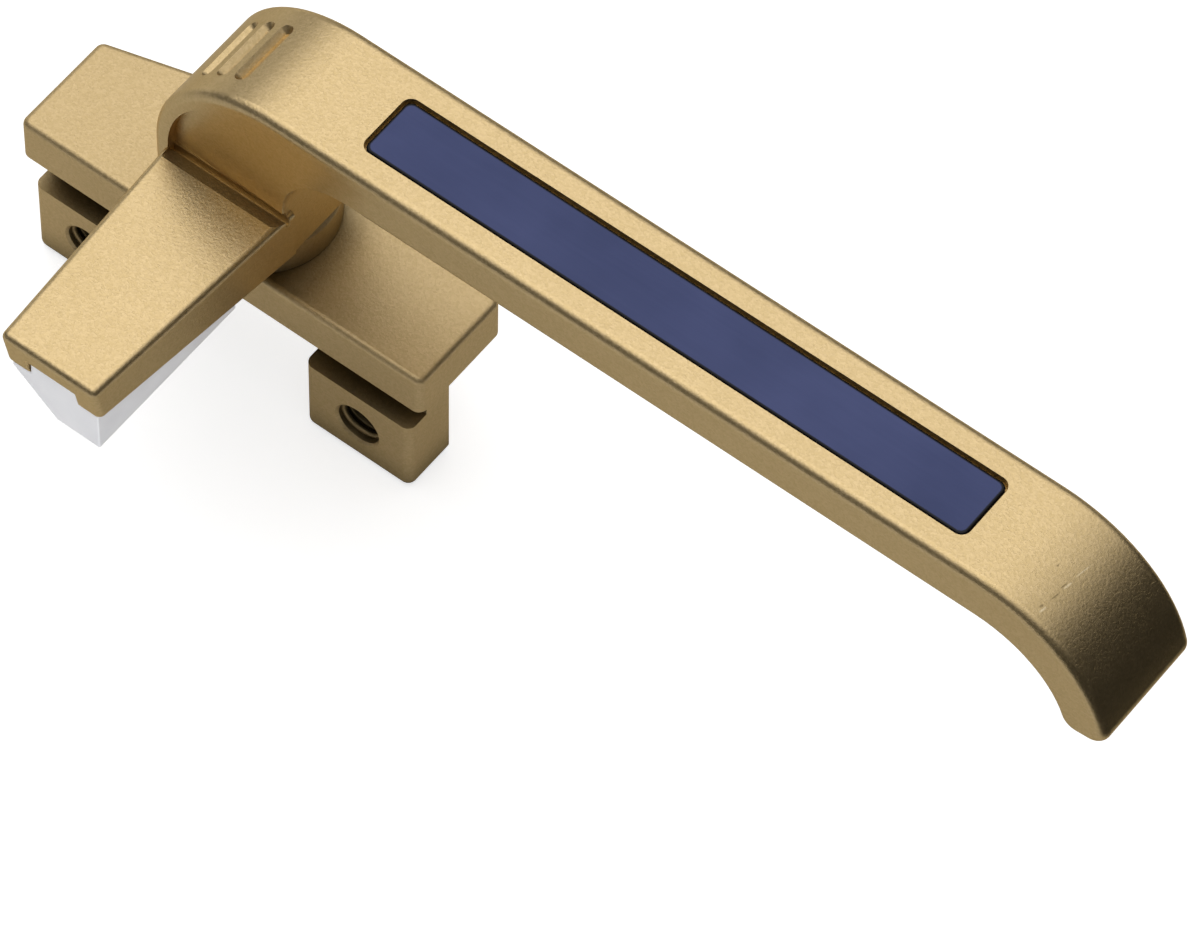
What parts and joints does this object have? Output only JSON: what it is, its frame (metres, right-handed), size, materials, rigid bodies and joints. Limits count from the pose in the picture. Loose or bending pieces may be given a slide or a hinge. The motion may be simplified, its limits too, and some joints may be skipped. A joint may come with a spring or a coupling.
{
  "type": "casement window handle",
  "caption": "Champagne-gold casement window handle with a blue inlaid lever, hooked end, side locking tongue and threaded lugs behind its base plate.",
  "frame": {"origin": "on the pivot axis, at the wall side of the base plate", "axes": "+Z along the pivot axis away from the wall, +X along the bar of the closed lever, -Y the way the tongue points"},
  "size_m": [0.1553, 0.0504, 0.057],
  "materials": {
    "gold": "satin metallic coat",
    "inlay": "satin",
    "nylon": "matt",
    "steel": "plain"
  },
  "bodies": {
    "base": {"base_plate": "gold", "collar": "gold", "spring_washer": "steel", "retaining_plate": "steel"},
    "lever": {"lever": "gold", "inlay_strip": "inlay", "wear_pad": "nylon", "friction_washer": "steel", "pivot_stud": "steel"}
  },
  "joints": [
    {"name": "lever", "type": "hinge", "parent": "base", "child": "lever", "pos_m": [0, 0, 0], "axis": [0, 0, 1], "range_deg": [0, 90]}
  ]
}
